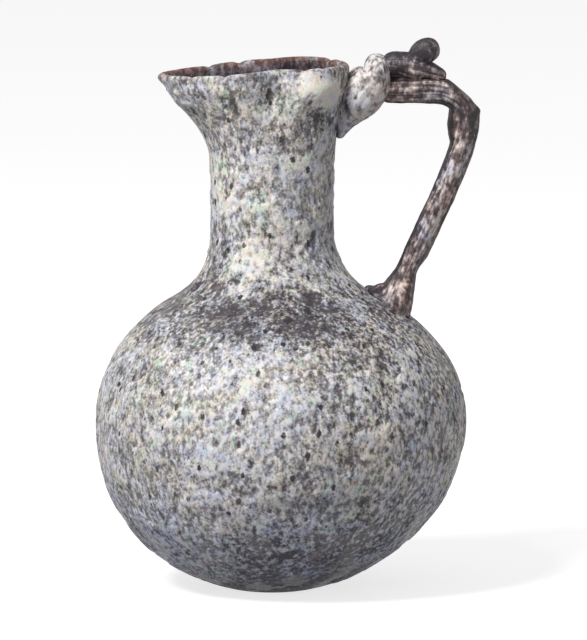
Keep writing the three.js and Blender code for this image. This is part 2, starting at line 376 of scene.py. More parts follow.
def chip_at(angle, height):
    degrees = math.degrees(angle)
    depth = sum(depth * hump(degrees, centre, spread) for centre, spread, depth in CHIPS)
    return depth * ease(height, *CHIP_EDGE)


def beak_at(angle, height):
    """Draws the spout's upper edge out to a beak, and its underside in."""
    drawn_out = ease(height, *BEAK_EDGE)
    cut_away = BEAK_UNDERCUT_SHARE * hump(height, *BEAK_UNDERCUT)
    return BEAK_REACH * (drawn_out - cut_away) * hump(abs(math.degrees(angle)), 180, BEAK_SPREAD)


def lobe_at(angle, height):
    """The bulge that the pinch leaves on either side of the handle."""
    around = hump(abs(math.degrees(angle)), LOBE_ANGLE, LOBE_SPREAD)
    cut_away = LOBE_UNDERCUT_SHARE * hump(height, *LOBE_UNDERCUT)
    return LOBE_HEIGHT * around * (hump(height, *LOBE_LEVEL) - cut_away)


print("chips in the rim:", len(CHIPS))

# %% [markdown]
# While the jug is still round, it is easy to tell which vertices lie inside, on the rim or under
# the base. So the marks are made first, and each vertex keeps a note of its round place. Then
# the rule above pinches and leans the jug. Attributes carry the marks on to the shader.

# %% Mark the surface and pinch the jug
INNER_FACE = (0.35 * BODY_WALL, 0.8 * BODY_WALL)
WORN_EDGE = (RIM_HEIGHT - 1.1, RIM_HEIGHT + 0.5)


def outside_radius_at(height):
    index = min(bisect_left(outside_heights, height), len(outside) - 1)
    return outside[index][0]


def mark_and_pinch(bm):
    """Moves the vertices, and gives the marks' layers and where each vertex was on the round jug."""
    marks = {name: bm.verts.layers.float.new(name) for name in ("plate", "inside", "rim", "pit")}
    round_places = {}
    for vert in bm.verts:
        radius = math.hypot(vert.co.x, vert.co.y)
        on_base = vert.co.z < TOUCHING and radius < BASE_RADIUS
        behind = outside_radius_at(vert.co.z) - radius
        vert[marks["inside"]] = 0 if on_base else ease(behind, *INNER_FACE)
        vert[marks["rim"]] = ease(vert.co.z, *WORN_EDGE)
        round_places[vert] = (radius, math.atan2(vert.co.y, vert.co.x), vert.co.z, on_base)
        vert.co = shape_jug(vert.co)
    bm.normal_update()
    return marks, round_places


marks, round_places = mark_and_pinch(vessel_bm)
print("marks on the vessel:", list(marks))

# %% [markdown]
# Now every vertex moves out or in by the relief at its place. All new places are worked out
# before the first vertex moves, because the normals would turn under the later ones otherwise.

# %% Press the relief into the vessel
EVEN_BASE = 3
CALM_RIM = 0.75
INSIDE_LUMPS = 0.4


def press_relief(bm, marks, round_places):
    moved = {}
    for vert in bm.verts:
        place = vert.co.copy()
        radius, angle, height, on_base = round_places[vert]
        bare = 1 - vert[marks["inside"]]
        plate = plate_at(place)
        pit = pit_at(place)
        vert[marks["plate"]] = plate
        vert[marks["pit"]] = pit
        near_edge = ease(height, 0, EVEN_BASE)
        fine = (PLATE_HEIGHT * (plate - 0.5) - PIT_DEPTH * pit) * bare * near_edge
        fine *= 1 - CALM_RIM * vert[marks["rim"]]
        relief = slow_relief(place) * blend(INSIDE_LUMPS, 1, bare) * near_edge + fine
        outward = Vector((math.cos(angle), math.sin(angle), 0))
        moved[vert] = place + vert.normal * relief
        moved[vert] += outward * (beak_at(angle, height) + lobe_at(angle, height))
        moved[vert].z -= chip_at(angle, height)
        if on_base:
            moved[vert].z = base_lift(radius, angle)
    for vert, place in moved.items():
        vert.co = place


press_relief(vessel_bm, marks, round_places)
print("vessel relief done on", len(vessel_bm.verts), "vertices")

# %% [markdown]
# ## From a bmesh to a finished piece
# Every piece ends the same way: scaled to metres, shaded smooth, given its material, and set to
# ride on the jug's one body. It then replaces the plain CAD solid of the same part. The scale
# goes into the mesh and not onto the object, so that patterns on Object coordinates stay true.

# %% Finish a piece
def finish_piece(name, bm, material):
    bmesh.ops.scale(bm, vec=(MM, MM, MM), verts=bm.verts)
    for face in bm.faces:
        face.smooth = True
    mesh = bpy.data.meshes.new(name)
    bm.to_mesh(mesh)
    triangles = sum(len(face.verts) - 2 for face in bm.faces)
    bm.free()
    mesh.materials.append(material)
    piece = bpy.data.objects.new(name, mesh)
    bpy.context.collection.objects.link(piece)
    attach(piece, "root")
    print(name, triangles, "triangles")
    return piece


print("pieces of the jug in the frame:", sorted(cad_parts))

# %% [markdown]
# ## Shader maths as plain expressions
# Nodes could be placed and linked one by one, but a formula of ten nodes then fills a page.
# `Value` wraps a socket, so that `1 - mask` or `grain * 2` adds the Math nodes that it needs.
# `Shader` fills the node tree of a material or of the world, and its `node` method makes any
# other node.

# %% The two shader classes
class Value:
    def __init__(self, shader, socket):
        self.shader = shader
        self.socket = socket

    def combined(self, operation, first, second):
        return self.shader.node("ShaderNodeMath", {"operation": operation}, {0: first, 1: second})

    def __add__(self, other):
        return self.combined("ADD", self, other)

    def __sub__(self, other):
        return self.combined("SUBTRACT", self, other)

    def __rsub__(self, other):
        return self.combined("SUBTRACT", other, self)

    def __mul__(self, other):
        return self.combined("MULTIPLY", self, other)

    __radd__ = __add__
    __rmul__ = __mul__

    def ease(self, start, end):
        """A soft step from 0 at start to 1 at end, or the other way round."""
        settings = {"interpolation_type": "SMOOTHSTEP"}
        return self.shader.node("ShaderNodeMapRange", settings, {0: self, 1: start, 2: end})


class Shader:
    def __init__(self, owner):
        owner.use_nodes = True
        self.owner = owner
        self.tree = owner.node_tree
        self.tree.nodes.clear()

    def node(self, kind, settings=None, inputs=None, output=0):
        node = self.tree.nodes.new(kind)
        for name, setting in (settings or {}).items():
            if name == "stops":
                self.set_stops(node.color_ramp, setting)
            else:
                setattr(node, name, setting)
        for name, value in (inputs or {}).items():
            if isinstance(value, Value):
                self.tree.links.new(value.socket, node.inputs[name])
            else:
                node.inputs[name].default_value = value
        return Value(self, node.outputs[output]) if node.outputs else None

    def set_stops(self, ramp, stops):
        while len(ramp.elements) < len(stops):
            ramp.elements.new(1)
        for element, (position, colour) in zip(ramp.elements, stops):
            element.position = position
            element.color = colour

    def mix(self, first, second, factor, blend_type="MIX"):
        settings = {"data_type": "RGBA", "blend_type": blend_type}
        return self.node("ShaderNodeMix", settings, {0: factor, 6: first, 7: second}, output=2)

    def attribute(self, name, output="Fac"):
        return self.node("ShaderNodeAttribute", {"attribute_name": name}, output=output)

    def object_place(self, stretch=(1, 1, 1), offset=(0, 0, 0)):
        """The object's own coordinates. Another offset gives a noise that shares no pattern."""
        place = self.node("ShaderNodeTexCoord", output="Object")
        return self.node("ShaderNodeMapping", inputs={"Vector": place, "Scale": stretch, "Location": offset})

    def noise(self, vector, size, detail=2, roughness=0.5, distortion=0):
        """Noise from 0 to 1 whose largest forms are about that many metres across."""
        inputs = {
            "Vector": vector, "Scale": 1 / size, "Detail": detail,
            "Roughness": roughness, "Distortion": distortion}
        return self.node("ShaderNodeTexNoise", inputs=inputs)


def tint(red, green, blue):
    """A colour as it looks on screen, 0 to 255, as the linear light that shaders use."""
    return tuple((part / 255) ** 2.2 for part in (red, green, blue)) + (1,)


print("mid grey is", round(tint(128, 128, 128)[0], 3))

# %% [markdown]
# ## The weathered crust
# From close by, the crust is a quarrel of tones: dark pits and pale flecks about a millimetre
# and a half across, over patches of several millimetres and slow clouds of cream, blue grey,
# violet and brown. A painted image could hold it all, but it would blur from close by and need
# unwrapping. Noises at those sizes are added to one tone here, and a ramp turns it to colour.
#
# Soft balls in space lift or lower the tone. One is a pale patch of crust at the foot of the neck,
# and two more darken the shoulder and the middle of the body. The rest are painted light and
# shade: painted highlights on the neck, on the body and on the lobe by the handle, painted shadow
# under that lobe, and painted shade low on the body's front and right.

# %% Places on the vessel that are lighter or darker, as centre, radius and how much
ZONE_EDGE = (1.25, 0.35)
LIGHT_SHADE_AND_PATCH_ZONES = (
    # a pale patch of crust at the foot of the neck
    ((-7, -19, 84), 8, 0.24),
    # painted light on the neck
    ((-11, -12, 101), 11, 0.14),
    ((4, -16, 100), 10, 0.1),
    # a darker shoulder front
    ((0, -32, 70), 13, -0.12),
    # painted light on the body, at the left and at the right
    ((-8, -42, 52), 22, 0.12),
    ((26, -36, 42), 15, 0.08),
    # painted highlight on the lobe by the handle
    ((9, -17, 125.5), 5.5, 0.3),
    ((15, -13, 125), 6, 0.44),
    # painted shadow under that lobe
    ((13, -13.5, 118.6), 4, -0.44),
    # a darker middle of the body
    ((6, -44, 36), 17, -0.08),
    # painted shade low on the front
    ((4, -28, 8), 18, -0.14),
    # painted light low on the left
    ((-24, -32, 20), 14, 0.1),
    # painted shade low on the right
    ((24, -32, 18), 16, -0.12),
)


def zone_tone(shader, place, zones):
    """How much lighter or darker the zones make each point."""
    total = None
    outer, core = ZONE_EDGE
    for centre, radius, strength in zones:
        inputs = {0: place, 1: tuple(Vector(centre) * MM)}
        distance = shader.node("ShaderNodeVectorMath", {"operation": "DISTANCE"}, inputs, "Value")
        zone = distance.ease(radius * outer * MM, radius * core * MM) * strength
        total = zone if total is None else total + zone
    return total


print("zones on the vessel:", len(LIGHT_SHADE_AND_PATCH_ZONES))

# %% [markdown]
# The tone is made darker where the shoulder turns up to the neck. A ring of zones could darken it,
# but a band between two heights goes all round in one step. A noise shifts the height at each
# point, and that frays both edges.

# %% The darker band round the shoulder
SHOULDER_BAND = (61, 70, 74, 82)
BAND_RAGGEDNESS = 14


def shoulder_band(shader, place, wobble):
    """1 on the shoulder and 0 elsewhere, with ragged edges."""
    height = shader.node("ShaderNodeSeparateXYZ", inputs={0: place}, output="Z")
    height = height + (wobble - 0.5) * BAND_RAGGEDNESS * MM
    low, full, fading, high = (level * MM for level in SHOULDER_BAND)
    return height.ease(low, full) * height.ease(high, fading)


print("shoulder band, mm:", SHOULDER_BAND)

# %% [markdown]
# Here and there a gas bubble near the surface burst and left a round, dark pit. Noise makes
# ragged blots, but a Voronoi texture has one centre in each of its cells, so the distance to it
# gives a round spot. Its random colour for each cell chooses which cells hold one.

# %% Isolated dark pits
PIT_SPACING = 3.3
PIT_RADIUS = 0.62
PIT_WOBBLE = 0.12
PIT_CHANCE = (0.45, 0.5)
PIT_SHADE = (1.25, 0.6)


def dark_pits(shader, place, wobble):
    """1 in small round pits, which only some of the cells of a random pattern hold."""
    settings = {"feature": "F1"}
    inputs = {"Vector": place, "Scale": 1 / (PIT_SPACING * MM)}
    distance = shader.node("ShaderNodeTexVoronoi", settings, inputs, "Distance")
    distance = distance + (wobble - 0.5) * PIT_WOBBLE
    chance = shader.node("ShaderNodeTexVoronoi", settings, inputs, "Color")
    chosen = shader.node("ShaderNodeSeparateColor", inputs={0: chance}).ease(*PIT_CHANCE)
    outer, core = (PIT_RADIUS / PIT_SPACING * share for share in PIT_SHADE)
    return distance.ease(outer, core) * chosen


print("pits every", PIT_SPACING, "mm")

# %% [markdown]
# The tone is one number at each point, from a black pit to a white fleck. The grain has more
# contrast under the bowl and towards the handle, where less crust is left. The lowest part gets
# painted shade.

# %% Tone of the crust
GRAIN_SIZE = 1.15
SPECKLE_SIZE = 0.6
BLOTCH_SIZE = 5
CLOUD_SIZE = 22
GRAIN_STRETCH = (1, 1, 0.66)
BAND_DARKNESS = 0.23
UNDERSIDE_CONTRAST = 1.0
HANDLE_SIDE_CONTRAST = 0.9


def crust_tone(shader, place, grain, speckle, blotch):
    tall = shader.object_place(stretch=GRAIN_STRETCH)
    cloud = shader.noise(shader.object_place(offset=(0.07, 0.02, 0.05)), CLOUD_SIZE * MM, detail=2)
    height = shader.node("ShaderNodeSeparateXYZ", inputs={0: place}, output="Z")
    towards_handle = shader.node("ShaderNodeSeparateXYZ", inputs={0: place}, output="X")
    contrast = 1.45 + height.ease(36 * MM, 10 * MM) * UNDERSIDE_CONTRAST
    contrast = contrast + towards_handle.ease(6 * MM, 40 * MM) * HANDLE_SIDE_CONTRAST
    tone = 0.56 + (grain - 0.5) * contrast + (speckle - 0.5) * 0.7 + (blotch - 0.5) * 0.5
    # dark pits, and painted shade that lowers the tone towards the bottom of the bowl
    tone = tone - dark_pits(shader, tall, speckle) * 0.6 - height.ease(24 * MM, 2 * MM) * 0.2
    tone = tone + (cloud - 0.5) * 0.4 + (shader.attribute("plate") - 0.5) * 0.1
    tone = tone - shader.attribute("pit") * 0.6
    tone = tone - shoulder_band(shader, place, blotch) * BAND_DARKNESS
    # the zones add painted light and shade, and the pale crust patch at the neck's foot
    return tone + zone_tone(shader, place, LIGHT_SHADE_AND_PATCH_ZONES)


print("grain of the crust:", GRAIN_SIZE, "mm")

# %% [markdown]
# A first ramp turns the tone to greys. Two more ramps, on a slow noise and on a fine one, hold
# pale tints that are multiplied in, so a hue never makes the crust lighter. The underside is
# a little bluer than the rest, as in the photograph.

# %% Colours of the crust
HUE_SIZE = 13
FINE_HUE_SIZE = 2.8
HUE_STRENGTH = 0.5
COOL_UNDERSIDE = (38, 12)


def crust_colour(shader, place, tone):
    crust = shader.node("ShaderNodeValToRGB", {"stops": (
        (0.0, tint(40, 34, 40)),
        (0.22, tint(86, 83, 88)),
        (0.42, tint(152, 152, 154)),
        (0.62, tint(204, 204, 204)),
        (0.85, tint(240, 240, 239)),
    )}, {0: tone})
    hue = shader.noise(shader.object_place(offset=(0.5, 0.4, 0.1)), HUE_SIZE * MM, detail=3, roughness=0.6)
    hues = shader.node("ShaderNodeValToRGB", {"stops": (
        (0.3, tint(224, 236, 250)),
        (0.42, tint(240, 240, 250)),
        (0.5, tint(253, 253, 253)),
        (0.58, tint(255, 238, 224)),
        (0.68, tint(232, 252, 236)),
    )}, {0: hue})
    crust = shader.mix(crust, hues, HUE_STRENGTH, "MULTIPLY")
    fine_hue = shader.noise(shader.object_place(offset=(0.8, 0.6, 0.3)), FINE_HUE_SIZE * MM, detail=2)
    fine_hues = shader.node("ShaderNodeValToRGB", {"stops": (
        (0.34, tint(208, 224, 244)),
        (0.43, tint(234, 226, 238)),
        (0.5, tint(255, 255, 255)),
        (0.57, tint(255, 234, 212)),
        (0.66, tint(214, 246, 226)),
    )}, {0: fine_hue})
    crust = shader.mix(crust, fine_hues, HUE_STRENGTH, "MULTIPLY")
    height = shader.node("ShaderNodeSeparateXYZ", inputs={0: place}, output="Z")
    start, full = (level * MM for level in COOL_UNDERSIDE)
    return shader.mix(crust, tint(234, 240, 255), height.ease(start, full), "MULTIPLY")


print("hues change over", HUE_SIZE, "and", FINE_HUE_SIZE, "mm")

# %% [markdown]
# The crust covers most of the glass, and three places show something else: darker glass where
# plates flaked off, brown along the lip, mostly on its far side, and a violet painted shade inside,
# for the shade in the hollow. Each is mixed in by its mark. The bump's height comes from the same
# noises, so that pale flecks stand up.

# %% Weathered glass for the vessel
def weathered_glass():
    shader = Shader(bpy.data.materials.new("weathered_glass"))
    place = shader.object_place()
    tall = shader.object_place(stretch=GRAIN_STRETCH)
    grain = shader.noise(tall, GRAIN_SIZE * MM, detail=2, roughness=0.6)
    speckle = shader.noise(shader.object_place(offset=(0.3, 0.1, 0.2)), SPECKLE_SIZE * MM, detail=1)
    blotch = shader.noise(tall, BLOTCH_SIZE * MM, detail=3, roughness=0.55, distortion=0.4)
    plate = shader.attribute("plate")
    inside = shader.attribute("inside")
    rim = shader.attribute("rim")
    crust = crust_colour(shader, place, crust_tone(shader, place, grain, speckle, blotch))

    bare = shader.mix(tint(72, 58, 66), tint(104, 100, 92), blotch)
    crust = shader.mix(crust, bare, (1 - plate) * grain.ease(0.56, 0.44) * 0.35)
    # brown along the lip, mostly on its far side
    rim_brown = shader.mix(tint(96, 52, 42), tint(150, 112, 96), grain.ease(0.45, 0.62))
    far_side = shader.node("ShaderNodeSeparateXYZ", inputs={0: place}, output="Y")
    brown_share = 0.12 + far_side.ease(-9 * MM, 2 * MM) * 0.85
    edge = rim * blotch.ease(0.36, 0.5) * brown_share
    crust = shader.mix(crust, rim_brown, edge)
    # painted shade: the inside of the jug is coloured darker, with a violet tint, as shade in the hollow
    inner = shader.mix(tint(58, 44, 58), tint(112, 98, 104), grain.ease(0.4, 0.65))
    crust = shader.mix(crust, inner, inside * (1 - rim * 0.6))

    relief = plate * 0.5 + grain * 0.55 + speckle * 0.2 + blotch * 0.3
    bump = shader.node("ShaderNodeBump", inputs={"Strength": 0.75, "Distance": 0.5 * MM, "Height": relief})
    roughness = 0.5 + plate * 0.28 + (grain - 0.5) * 0.3
    surface = shader.node("ShaderNodeBsdfPrincipled", inputs={
        "Base Color": crust, "Roughness": roughness, "IOR": 1.5, "Normal": bump})
    shader.node("ShaderNodeOutputMaterial", inputs={"Surface": surface})
    return shader.owner


vessel = finish_piece("vessel_glass", vessel_bm, weathered_glass())
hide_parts("vessel")

# %% [markdown]
# ## The handle, the clasp and the thumb rest
# These three were drawn and pressed from one trail of hot glass. The CAD solids already have
# their true run and thickness, so each piece starts as a merged copy of its solid. Voxel
# remeshing turns the facets and any added lump into one even skin. A few rounds of smoothing
# melt it, and a small swelling closes the thin seam to its neighbours, as hot glass would.

# %% From a CAD solid to a melted skin
def copy_solid(node):
    bm = bmesh.new()
    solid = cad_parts[node]
    bm.from_mesh(solid.data)
    bmesh.ops.transform(bm, matrix=solid.matrix_world, verts=bm.verts)
    bmesh.ops.scale(bm, vec=(1 / MM, 1 / MM, 1 / MM), verts=bm.verts)
    bmesh.ops.remove_doubles(bm, verts=bm.verts, dist=1e-3)
    bmesh.ops.recalc_face_normals(bm, faces=bm.faces)
    return bm


def add_lump(bm, centre, size, turn=0):
    """A lump of glass: a ball with its three thicknesses, turned in the plane of the handle."""
    matrix = Matrix.Translation(centre) @ Matrix.Rotation(math.radians(turn), 4, "Y")
    matrix = matrix @ Matrix.Diagonal((*size, 1))
    bmesh.ops.create_icosphere(bm, subdivisions=4, radius=0.5, matrix=matrix)


def melted(bm, voxel, rounds):
    """The same solid as one even skin of small faces, smoothed that many times."""
    mesh = bpy.data.meshes.new("melting")
    bm.to_mesh(mesh)
    bm.free()
    piece = bpy.data.objects.new("melting", mesh)
    bpy.context.collection.objects.link(piece)
    remesh = piece.modifiers.new("remesh", "REMESH")
    remesh.mode = "VOXEL"
    remesh.voxel_size = voxel
    seen = piece.evaluated_get(bpy.context.evaluated_depsgraph_get())
    skin = bmesh.new()
    skin.from_mesh(seen.to_mesh())
    bpy.data.objects.remove(piece)
    for _ in range(rounds):
        bmesh.ops.smooth_vert(
            skin, verts=skin.verts, factor=0.5, use_axis_x=True, use_axis_y=True, use_axis_z=True)
    skin.normal_update()
    return skin


# %% [markdown]
# Drawn glass has streaks along it, like toffee. For each point of the skin, the nearest point
# of the rod's centre line says how far along and how far round it lies. Noise that changes fast
# round the rod and slowly along it gives the ridges, and the same numbers go into an attribute
# for the streaks of colour.

# %% Streaks along a drawn rod
RIDGE_DEPTH = 0.3
RIDGE_RUN = 26
RIDGE_RING = 2
RIDGE_RATES = (1.3, 2.9)
GRIT_SIZES = (1.7, 4.5)
SWELL = 0.27


def centre_line(knots, steps):
    """Points along smooth Bezier stretches, each given by its start, two handles and its end."""
    line = []
    for start, pull, push, end in knots:
        points = interpolate_bezier(*(Vector((x, 0, z)) for x, z in (start, pull, push, end)), steps)
        line += points[1:] if line else points
    return line


def draw_streaks(bm, line, depth=RIDGE_DEPTH, swell=SWELL):
    tree = KDTree(len(line))
    run = [0]
    for before, point in zip(line, line[1:]):
        run.append(run[-1] + (point - before).length)
    for index, point in enumerate(line):
        tree.insert(point, index)
    tree.balance()
    drawn = bm.verts.layers.float_vector.new("drawn")
    (slow, quick), (small, large) = RIDGE_RATES, GRIT_SIZES
    moved = []
    for vert in bm.verts:
        nearest, index, _ = tree.find(vert.co)
        ahead = line[min(index + 1, len(line) - 1)] - line[max(index - 1, 0)]
        across = (vert.co - nearest).dot(Vector((-ahead.z, 0, ahead.x)).normalized())
        angle = math.atan2(vert.co.y, across)
        place = Vector((
            math.cos(angle) * RIDGE_RING,
            math.sin(angle) * RIDGE_RING,
            run[index] / RIDGE_RUN))
        vert[drawn] = place
        ridge = noise.noise(place * slow) + 0.5 * noise.noise(place * quick)
        grit = 0.3 * noise.noise(vert.co / small) + 0.35 * noise.noise(vert.co / large)
        moved.append(vert.co + vert.normal * (swell + depth * (ridge + grit)))
    for vert, place in zip(bm.verts, moved):
        vert.co = place
    bm.normal_update()


print("ridges are", RIDGE_DEPTH, "mm deep")

# %% [markdown]
# The centre line of the handle is needed again for the streaks. It is drawn from the same sizes
# as the CAD rod: up from the shoulder, round the elbow and level to the clasp.

# %% Sizes of the handle, in millimetres
FOOT_RADIUS = BODY_RADIUS - 16.2
ELBOW_REACH = BODY_RADIUS + 2.4
ELBOW_HEIGHT = RIM_HEIGHT - 12.3
ELBOW_SIZE = 9
RUN_HEIGHT = RIM_HEIGHT - 4.8
CLASP_REACH = 6.6
TAB_X = RIM_RADIUS + CLASP_REACH
FOOT_DEPTH = 3
RUN_PULLS = (40, 30)
LINE_STEPS = 60


def height_on_shoulder(radius):
    return next(height for at, height in outside if height > BOWL_HEIGHT and at <= radius)


FOOT_HEIGHT = height_on_shoulder(FOOT_RADIUS)
FOOT_X = FOOT_RADIUS + lean_at(FOOT_HEIGHT)
LEG_PULL = (ELBOW_HEIGHT - FOOT_HEIGHT) * 0.29
handle_line = centre_line((
    ((FOOT_X - 1, FOOT_HEIGHT - FOOT_DEPTH), (FOOT_X + 0.4, FOOT_HEIGHT - FOOT_DEPTH + LEG_PULL),
     (ELBOW_REACH - 1.2, ELBOW_HEIGHT - LEG_PULL), (ELBOW_REACH, ELBOW_HEIGHT)),
    ((ELBOW_REACH, ELBOW_HEIGHT), (ELBOW_REACH + 0.5, ELBOW_HEIGHT + ELBOW_SIZE / 2),
     (ELBOW_REACH - ELBOW_SIZE * 0.4, RUN_HEIGHT), (ELBOW_REACH - ELBOW_SIZE, RUN_HEIGHT)),
    ((ELBOW_REACH - ELBOW_SIZE, RUN_HEIGHT), (RUN_PULLS[0], RUN_HEIGHT),
     (RUN_PULLS[1], RUN_HEIGHT), (TAB_X, RUN_HEIGHT)),
), LINE_STEPS)
print("foot at", round(FOOT_X, 1), round(FOOT_HEIGHT, 1))

# %% [markdown]
# ## Glass of the handle
# The handle kept less crust than the body: dark brown and violet glass shows through, with pale
# streaks along the rod. The streaks could follow a UV map, but a remeshed skin has none. They
# follow the attribute that the ridges left. Its X is largest along the rod's inner and outer
# edge, where the glass gets painted shade. The three pieces share this one recipe.

# %% Streaked glass
EDGE_SHADE = 0.5
EDGE_RUN = (1.0, 1.95)
STREAK_SIZE = 0.42
HANDLE_GRAIN_SIZE = 1.5
HANDLE_HUE_SIZE = 8
HANDLE_CONTRAST = 3.6


def handle_glass(name, zones, paleness=0, colourfulness=0.85, streakiness=1.5):
    shader = Shader(bpy.data.materials.new(name))
    drawn = shader.attribute("drawn", "Vector")
    tall = shader.object_place(stretch=GRAIN_STRETCH)
    streak = shader.noise(drawn, STREAK_SIZE, detail=3, roughness=0.6)
    grain = shader.noise(tall, HANDLE_GRAIN_SIZE * MM, detail=2.5, roughness=0.62)
    blotch = shader.noise(shader.object_place(), BLOTCH_SIZE * MM, detail=2, roughness=0.55)
    tone = 0.47 + (streak - 0.5) * streakiness + (grain - 0.5) * (HANDLE_CONTRAST - streakiness)
    tone = tone + (blotch - 0.5) * 0.8
    sides = shader.node("ShaderNodeSeparateXYZ", inputs={0: drawn}, output="X")
    edges = shader.node("ShaderNodeMath", {"operation": "ABSOLUTE"}, {0: sides})
    # painted shade along the rod's inner and outer edges, weaker on paler glass
    tone = tone + paleness - edges.ease(*EDGE_RUN) * EDGE_SHADE * (1 - paleness * 2)
    # the zones lift or lower the tone, mostly as painted light and shade
    tone = tone + zone_tone(shader, shader.object_place(), zones)
    glass = shader.node("ShaderNodeValToRGB", {"stops": (
        (0.0, tint(30, 24, 30)),
        (0.25, tint(72, 61, 64)),
        (0.45, tint(121, 110, 111)),
        (0.66, tint(175, 168, 166)),
        (0.9, tint(232, 230, 226)),
    )}, {0: tone})
    hue = shader.noise(shader.object_place(offset=(0.2, 0.4, 0.3)), HANDLE_HUE_SIZE * MM, detail=2)
    hues = shader.node("ShaderNodeValToRGB", {"stops": (
        (0.34, tint(222, 226, 255)),
        (0.5, tint(255, 244, 240)),
        (0.62, tint(255, 226, 214)),
    )}, {0: hue})
    glass = shader.mix(glass, hues, 0.85, "MULTIPLY")
    glass = shader.node("ShaderNodeHueSaturation", inputs={"Saturation": colourfulness, "Color": glass})
    relief = streak * 0.8 + grain * 0.5
    bump = shader.node("ShaderNodeBump", inputs={"Strength": 0.7, "Distance": 0.45 * MM, "Height": relief})
    roughness = 0.42 + blotch * 0.4
    surface = shader.node("ShaderNodeBsdfPrincipled", inputs={
        "Base Color": glass, "Roughness": roughness, "IOR": 1.5, "Normal": bump})
    shader.node("ShaderNodeOutputMaterial", inputs={"Surface": surface})
    return shader.owner


print("handle glass ready")

# %% [markdown]
# ## The handle
# The maker nipped and pressed the soft rod with a tool, and that left a flat on the outer corner
# of the elbow and one on the foot. A cut would leave a sharp edge. Moving back what stands
# past a plane, and less so further away, leaves a soft one.

# %% A flat pressed on with a tool
def flatten(bm, on_plane, normal, share, reach):
    """Moves what stands past the plane most of the way back to it, less towards its reach."""
    for vert in bm.verts:
        away = vert.co - on_plane
        past = away.dot(normal)
        if past > 0:
            fade = 1 - ease(away.length, 0.5 * reach, reach)
            vert.co -= normal * past * share * fade
    bm.normal_update()


print("flats: the elbow's outer corner and the foot's outer side")

# %% [markdown]
# The rod's foot was pressed on the shoulder while soft, so it spreads as a low pad there, more
# to the neck's side, with a thicker heel on it. At the elbow the rod was folded, and glass
# bunched up in the inner corner and in a knuckle outside. Four balls of glass, melted into the
# rod's skin, do all that.

# %% Lumps and flats of the handle
SHOULDER_SLOPE = 35
HANDLE_LUMPS = {
    "foot pad": ((FOOT_X - 2.4, 0, FOOT_HEIGHT + 1.2), (14, 13.4, 2.8), SHOULDER_SLOPE),
    "heel": ((FOOT_X - 2.6, 0, FOOT_HEIGHT + 2.9), (7.5, 8.6, 4.6), SHOULDER_SLOPE),
    "inner corner": ((ELBOW_REACH - 1.7, 0, RUN_HEIGHT - 7), (6, 6.6, 15), 6),
    "knuckle": ((ELBOW_REACH + 1.1, 0, RUN_HEIGHT - 5), (3.8, 5.4, 3.8), 40),
}
ELBOW_FLAT = Vector((ELBOW_REACH - 1.2, 0, RUN_HEIGHT - 1.1))
ELBOW_FACING = Vector((0.695, 0, 0.719))
FOOT_FLAT = Vector((FOOT_X + 3.1, 0, FOOT_HEIGHT + 1))
FOOT_FACING = Vector((0.995, 0, -0.1))
print("lumps on the rod:", list(HANDLE_LUMPS))

# %% Model the handle
handle_bm = copy_solid("handle")
for centre, size, turn in HANDLE_LUMPS.values():
    add_lump(handle_bm, centre, size, turn)
handle_skin = melted(handle_bm, voxel=0.3, rounds=14)
flatten(handle_skin, ELBOW_FLAT, ELBOW_FACING, share=0.75, reach=16)
flatten(handle_skin, FOOT_FLAT, FOOT_FACING, share=0.8, reach=13)
draw_streaks(handle_skin, handle_line)
# painted shade under the run by the thumb rest, on the elbow and on the foot's outer side, painted
# highlights on the foot
HANDLE_LIGHT_AND_SHADE_ZONES = (
    ((TAB_X + 9, -3, RUN_HEIGHT - 3), 4, -0.12),
    ((ELBOW_REACH, 0, ELBOW_HEIGHT + 3), 8, -0.22),
    ((FOOT_X + 4, -1, FOOT_HEIGHT + 4), 6, -0.42),
    ((FOOT_X - 2.5, -4, FOOT_HEIGHT + 6), 5, 0.14),
    ((FOOT_X - 1, -5.5, FOOT_HEIGHT + 6), 2.4, 0.12),
)
handle = finish_piece("handle_rod", handle_skin, handle_glass("handle_glass", HANDLE_LIGHT_AND_SHADE_ZONES))
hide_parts("handle")

# %% [markdown]
# ## The clasp
# The wad that holds the rim was pressed with a tool, so it has a thick ridge up its middle and
# thins out down the neck. It lay against the vessel's mouth and kept its crust, so its glass is
# the handle's made paler and less streaky. It swells more than the rod, to close on the rim.

# %% Model the clasp
clasp_line = centre_line((
    ((NECK_RADIUS + 1.2, RIM_HEIGHT - 16.5), (RIM_RADIUS, RIM_HEIGHT - 11),
     (RIM_RADIUS + 3, RIM_HEIGHT - 6), (TAB_X, RIM_HEIGHT - 1.2)),
    ((TAB_X, RIM_HEIGHT - 1.2), (TAB_X, RIM_HEIGHT), (TAB_X, RIM_HEIGHT + 2), (TAB_X, RIM_HEIGHT + 3.9)),
), 40)
clasp_skin = melted(copy_solid("rim_clasp"), voxel=0.26, rounds=7)
draw_streaks(clasp_skin, clasp_line, depth=0.26, swell=0.4)
# painted shade in the pocket by the clasp's tab, and a lighter front on the clasp
CLASP_SHADE_AND_PALE_ZONES = (
    ((TAB_X + 3.4, -4, RUN_HEIGHT + 1), 3, -0.3),
    ((TAB_X - 2, -5, RUN_HEIGHT), 7, 0.08),
)
clasp_glass = handle_glass("clasp_glass", CLASP_SHADE_AND_PALE_ZONES, paleness=0.3, colourfulness=0.5, streakiness=1.1)
clasp = finish_piece("clasp_wad", clasp_skin, clasp_glass)
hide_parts("rim_clasp")

# %% [markdown]
# ## The thumb rest
# The tail of the wad was folded back on the rod and drawn up to a curled knob, where the thumb
# pushes to pour. Between the clasp and the tail the glass folds in. A boolean cut would leave
# an edge, so a soft push makes that pocket, and a zone paints shade into it. Another zone paints
# a highlight on the knob.

# %% Model the thumb rest
POCKET_CENTRE = Vector((TAB_X + 5.4, -3.4, RIM_HEIGHT - 0.6))
POCKET_SIZE = 2.7
POCKET_DEPTH = 1.5


